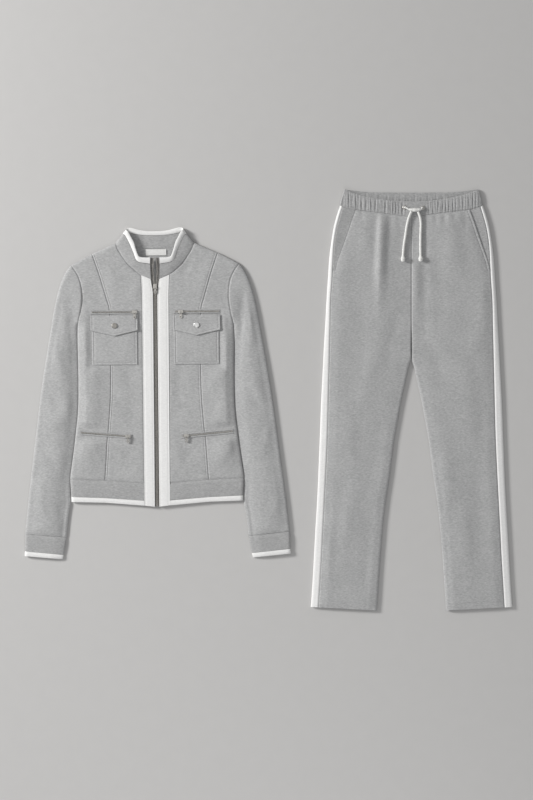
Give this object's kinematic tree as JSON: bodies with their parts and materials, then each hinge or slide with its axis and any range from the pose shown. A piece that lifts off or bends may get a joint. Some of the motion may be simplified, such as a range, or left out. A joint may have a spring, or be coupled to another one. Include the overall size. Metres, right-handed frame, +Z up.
{
  "type": "loungewear set",
  "caption": "Zip-front stand-collar jacket with chest flap pockets and white bindings, and drawstring trousers with white side stripes, laid flat side by side.",
  "frame": {"origin": "middle of the set's outline, on the surface that it lies on", "axes": "+X from the jacket to the trousers, +Y towards the collar and waistband, +Z up from the surface"},
  "size_m": [1.1926, 1.0295, 0.0179],
  "materials": {
    "heather_knit": "heather grey double knit",
    "white_trim": "white knit",
    "zip_tape": "woven tape",
    "metal": "dull nickel",
    "label": "satin ribbon"
  },
  "bodies": {
    "garments": {"chest_button_left": "metal", "chest_button_right": "metal", "chest_flap_left": "heather_knit", "chest_flap_right": "heather_knit", "chest_left_slider": "metal", "chest_patch_left": "heather_knit", "chest_patch_right": "heather_knit", "chest_right_slider": "metal", "chest_zip_left": "metal", "chest_zip_right": "metal", "collar": "heather_knit", "collar_binding": "white_trim", "cuff_binding_left": "white_trim", "cuff_binding_right": "white_trim", "cuff_left": "heather_knit", "cuff_right": "heather_knit", "drawstring_knot": "white_trim", "drawstring_left": "white_trim", "drawstring_right": "white_trim", "eyelet_left": "metal", "eyelet_right": "metal", "front_centre_left": "heather_knit", "front_centre_right": "heather_knit", "front_side_left": "heather_knit", "front_side_right": "heather_knit", "hem_band": "heather_knit", "hem_binding": "white_trim", "jacket_back": "heather_knit", "neck_label": "label", "placket_left": "white_trim", "placket_right": "white_trim", "pocket_facing_left": "heather_knit", "pocket_facing_right": "heather_knit", "side_left_slider": "metal", "side_right_slider": "metal", "side_stripe_left": "white_trim", "side_stripe_right": "white_trim", "side_zip_left": "metal", "side_zip_right": "metal", "sleeve_top_left": "heather_knit", "sleeve_top_right": "heather_knit", "sleeve_under_left": "heather_knit", "sleeve_under_right": "heather_knit", "trouser_back_left": "heather_knit", "trouser_back_right": "heather_knit", "trouser_front_left": "heather_knit", "trouser_front_right": "heather_knit", "waistband": "heather_knit", "zip_slider": "metal", "zip_tape_left": "zip_tape", "zip_tape_right": "zip_tape", "zip_teeth_left": "metal", "zip_teeth_right": "metal"},
    "zip_pull": {"zip_pull": "metal"},
    "chest_left_pull": {"chest_left_pull": "metal"},
    "chest_right_pull": {"chest_right_pull": "metal"},
    "side_left_pull": {"side_left_pull": "metal"},
    "side_right_pull": {"side_right_pull": "metal"}
  },
  "joints": [
    {"name": "zip_pull_swing", "type": "hinge", "parent": "garments", "child": "zip_pull", "pos_m": [-0.27713, 0.27518, 0.0112], "axis": [-1, -0.0096, 0], "range_deg": [0, 150]},
    {"name": "chest_left_pull_swing", "type": "hinge", "parent": "garments", "child": "chest_left_pull", "pos_m": [-0.32754, 0.21379, 0.0131], "axis": [-1, -0.0096, 0], "range_deg": [0, 150]},
    {"name": "chest_right_pull_swing", "type": "hinge", "parent": "garments", "child": "chest_right_pull", "pos_m": [-0.21455, 0.21488, 0.0131], "axis": [-1, -0.0096, 0], "range_deg": [0, 150]},
    {"name": "side_left_pull_swing", "type": "hinge", "parent": "garments", "child": "side_left_pull", "pos_m": [-0.34312, -0.09015, 0.0131], "axis": [-1, -0.0096, 0], "range_deg": [0, 150]},
    {"name": "side_right_pull_swing", "type": "hinge", "parent": "garments", "child": "side_right_pull", "pos_m": [-0.20063, -0.08848, 0.0131], "axis": [-1, -0.0096, 0], "range_deg": [0, 150]}
  ]
}
